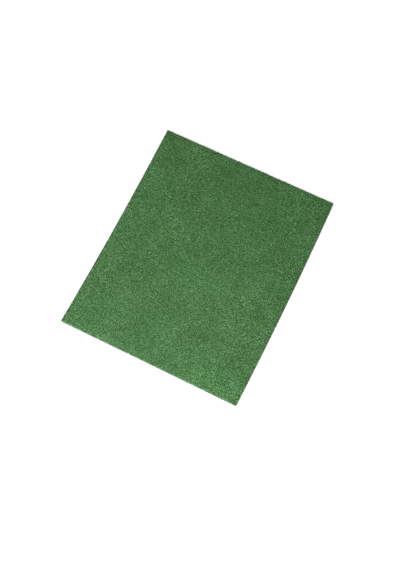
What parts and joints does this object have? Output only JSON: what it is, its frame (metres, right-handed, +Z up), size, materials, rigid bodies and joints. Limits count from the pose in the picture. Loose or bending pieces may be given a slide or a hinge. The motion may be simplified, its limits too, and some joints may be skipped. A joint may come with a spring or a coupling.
{
  "type": "abrasive hand pad",
  "caption": "Flat rectangular pad of green non-woven abrasive fibre web with die-cut edges, for scuffing, cleaning and blending surfaces by hand.",
  "frame": {"origin": "middle of the pad's footprint, on its flat underside", "axes": "+X across the pad, +Y along it, +Z up out of the working face"},
  "size_m": [0.2318, 0.28, 0.0054],
  "materials": {
    "fibre_web": "matt green resin-bonded fibre web, open and lofty, with paler cut edges"
  },
  "bodies": {
    "root": {"abrasive_pad": "fibre_web"}
  },
  "joints": []
}
